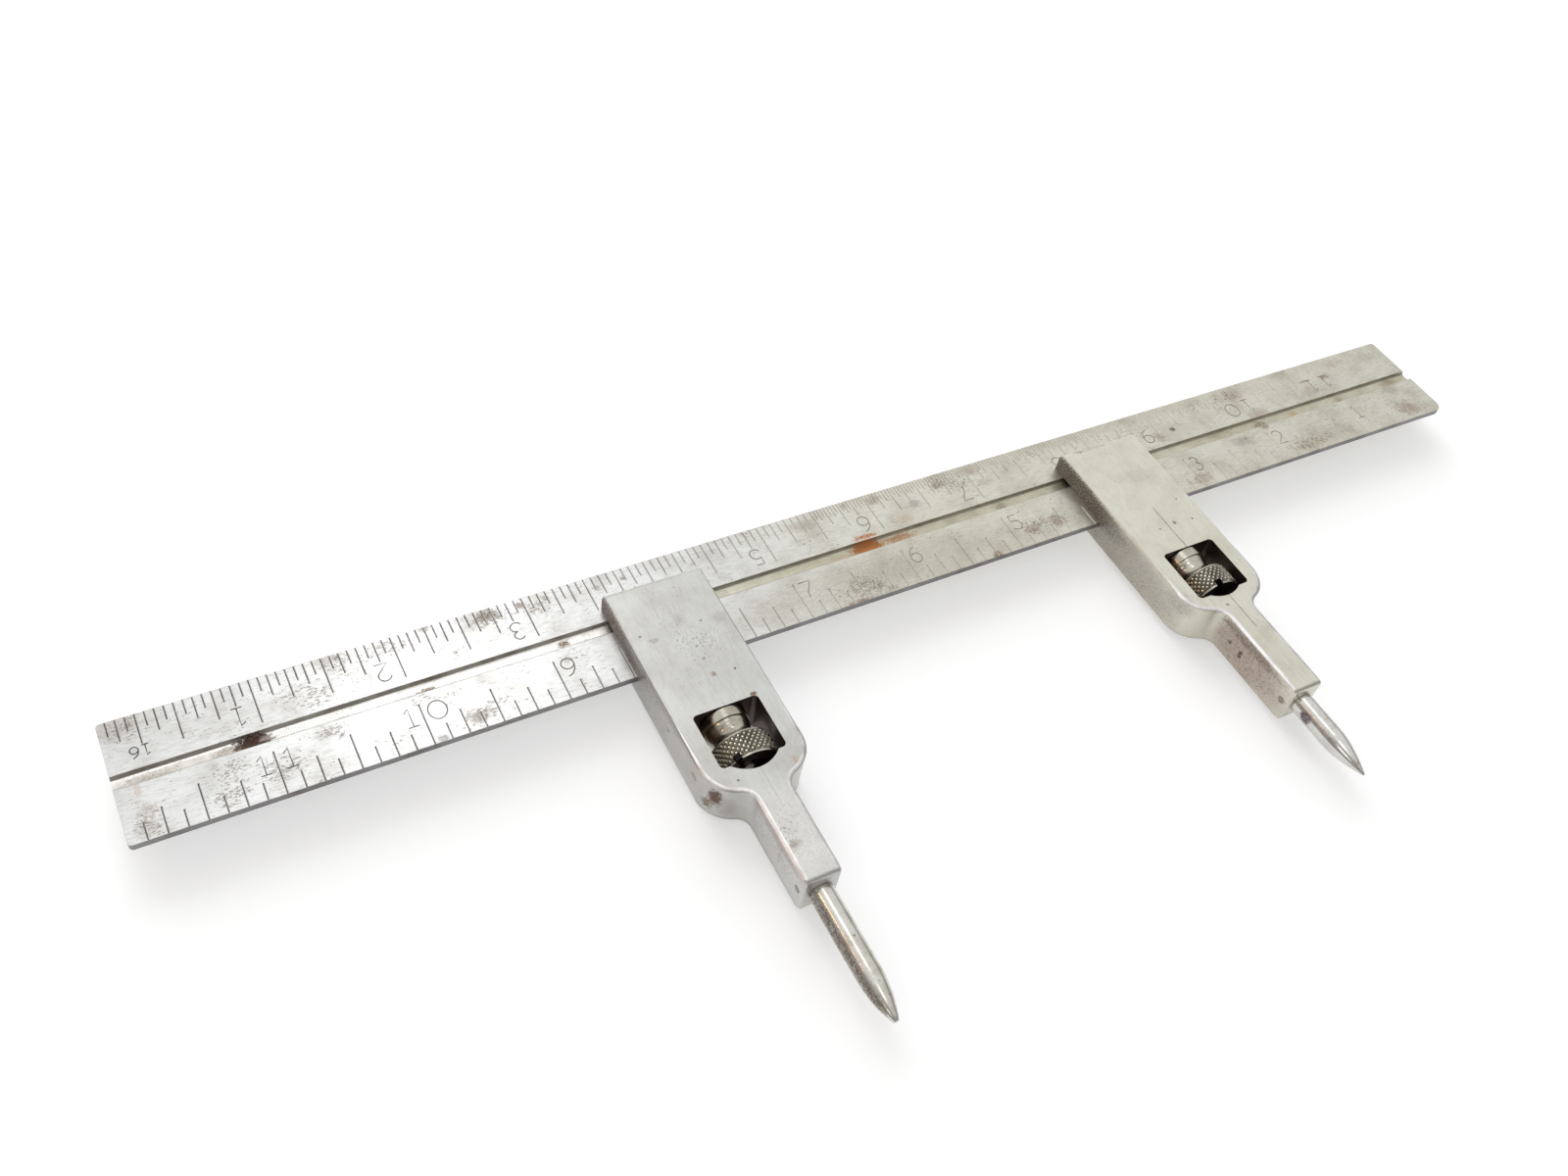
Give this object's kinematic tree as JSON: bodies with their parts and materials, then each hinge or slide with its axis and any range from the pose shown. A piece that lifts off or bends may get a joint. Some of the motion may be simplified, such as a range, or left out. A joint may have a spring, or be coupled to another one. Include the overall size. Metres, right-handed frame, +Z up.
{
  "type": "beam compass",
  "caption": "Grooved steel rule carrying sliding forked heads, each with a windowed knurled clamp nut and a long scribing point.",
  "frame": {"origin": "middle of the object's outline, on the surface that it lies on", "axes": "+X along the rule, +Y from the scribing points towards the rule, +Z up through the graduated face"},
  "size_m": [0.3048, 0.103, 0.0124],
  "materials": {
    "rule_steel": "fine lengthwise grain, worn, with rust stains",
    "head_steel": "satin ground, lightly pitted",
    "point_steel": "polished",
    "clamp_steel": "plain turned",
    "nut_steel": "turned, diamond knurled"
  },
  "bodies": {
    "beam": {"rule": "rule_steel"},
    "left_slider": {"left_head": "head_steel", "left_point": "point_steel", "left_point_pin": "point_steel", "left_clamp_spring": "clamp_steel"},
    "left_bolt": {"left_clamp_bolt": "clamp_steel"},
    "left_nut": {"left_clamp_nut": "nut_steel"},
    "right_slider": {"right_head": "head_steel", "right_point": "point_steel", "right_point_pin": "point_steel", "right_clamp_spring": "clamp_steel"},
    "right_bolt": {"right_clamp_bolt": "clamp_steel"},
    "right_nut": {"right_clamp_nut": "nut_steel"}
  },
  "joints": [
    {"name": "left_head_slide", "type": "slide", "parent": "beam", "child": "left_slider", "axis": [1, 0, 0], "range_m": [-0.0893, 0.0438]},
    {"name": "left_nut_turn", "type": "hinge", "parent": "left_slider", "child": "left_nut", "pos_m": [-0.05273, 0.006, 0.0062], "axis": [0, -1, 0], "range_deg": [0, 360]},
    {"name": "left_bolt_draw", "type": "slide", "parent": "left_slider", "child": "left_bolt", "axis": [0, 1, 0], "range_m": [0, 0.0008], "deforming": ["left_clamp_spring"]},
    {"name": "right_head_slide", "type": "slide", "parent": "beam", "child": "right_slider", "axis": [1, 0, 0], "range_m": [-0.0438, 0.086]},
    {"name": "right_nut_turn", "type": "hinge", "parent": "right_slider", "child": "right_nut", "pos_m": [0.05607, 0.005, 0.0062], "axis": [0, -1, 0], "range_deg": [0, 360]},
    {"name": "right_bolt_draw", "type": "slide", "parent": "right_slider", "child": "right_bolt", "axis": [0, 1, 0], "range_m": [0, 0.0008], "deforming": ["right_clamp_spring"]}
  ],
  "couplings": [
    {"joint": "left_bolt_draw", "follows": "left_nut_turn", "m_per_rad": 0.00012632},
    {"joint": "right_bolt_draw", "follows": "right_nut_turn", "m_per_rad": 0.00012632}
  ]
}
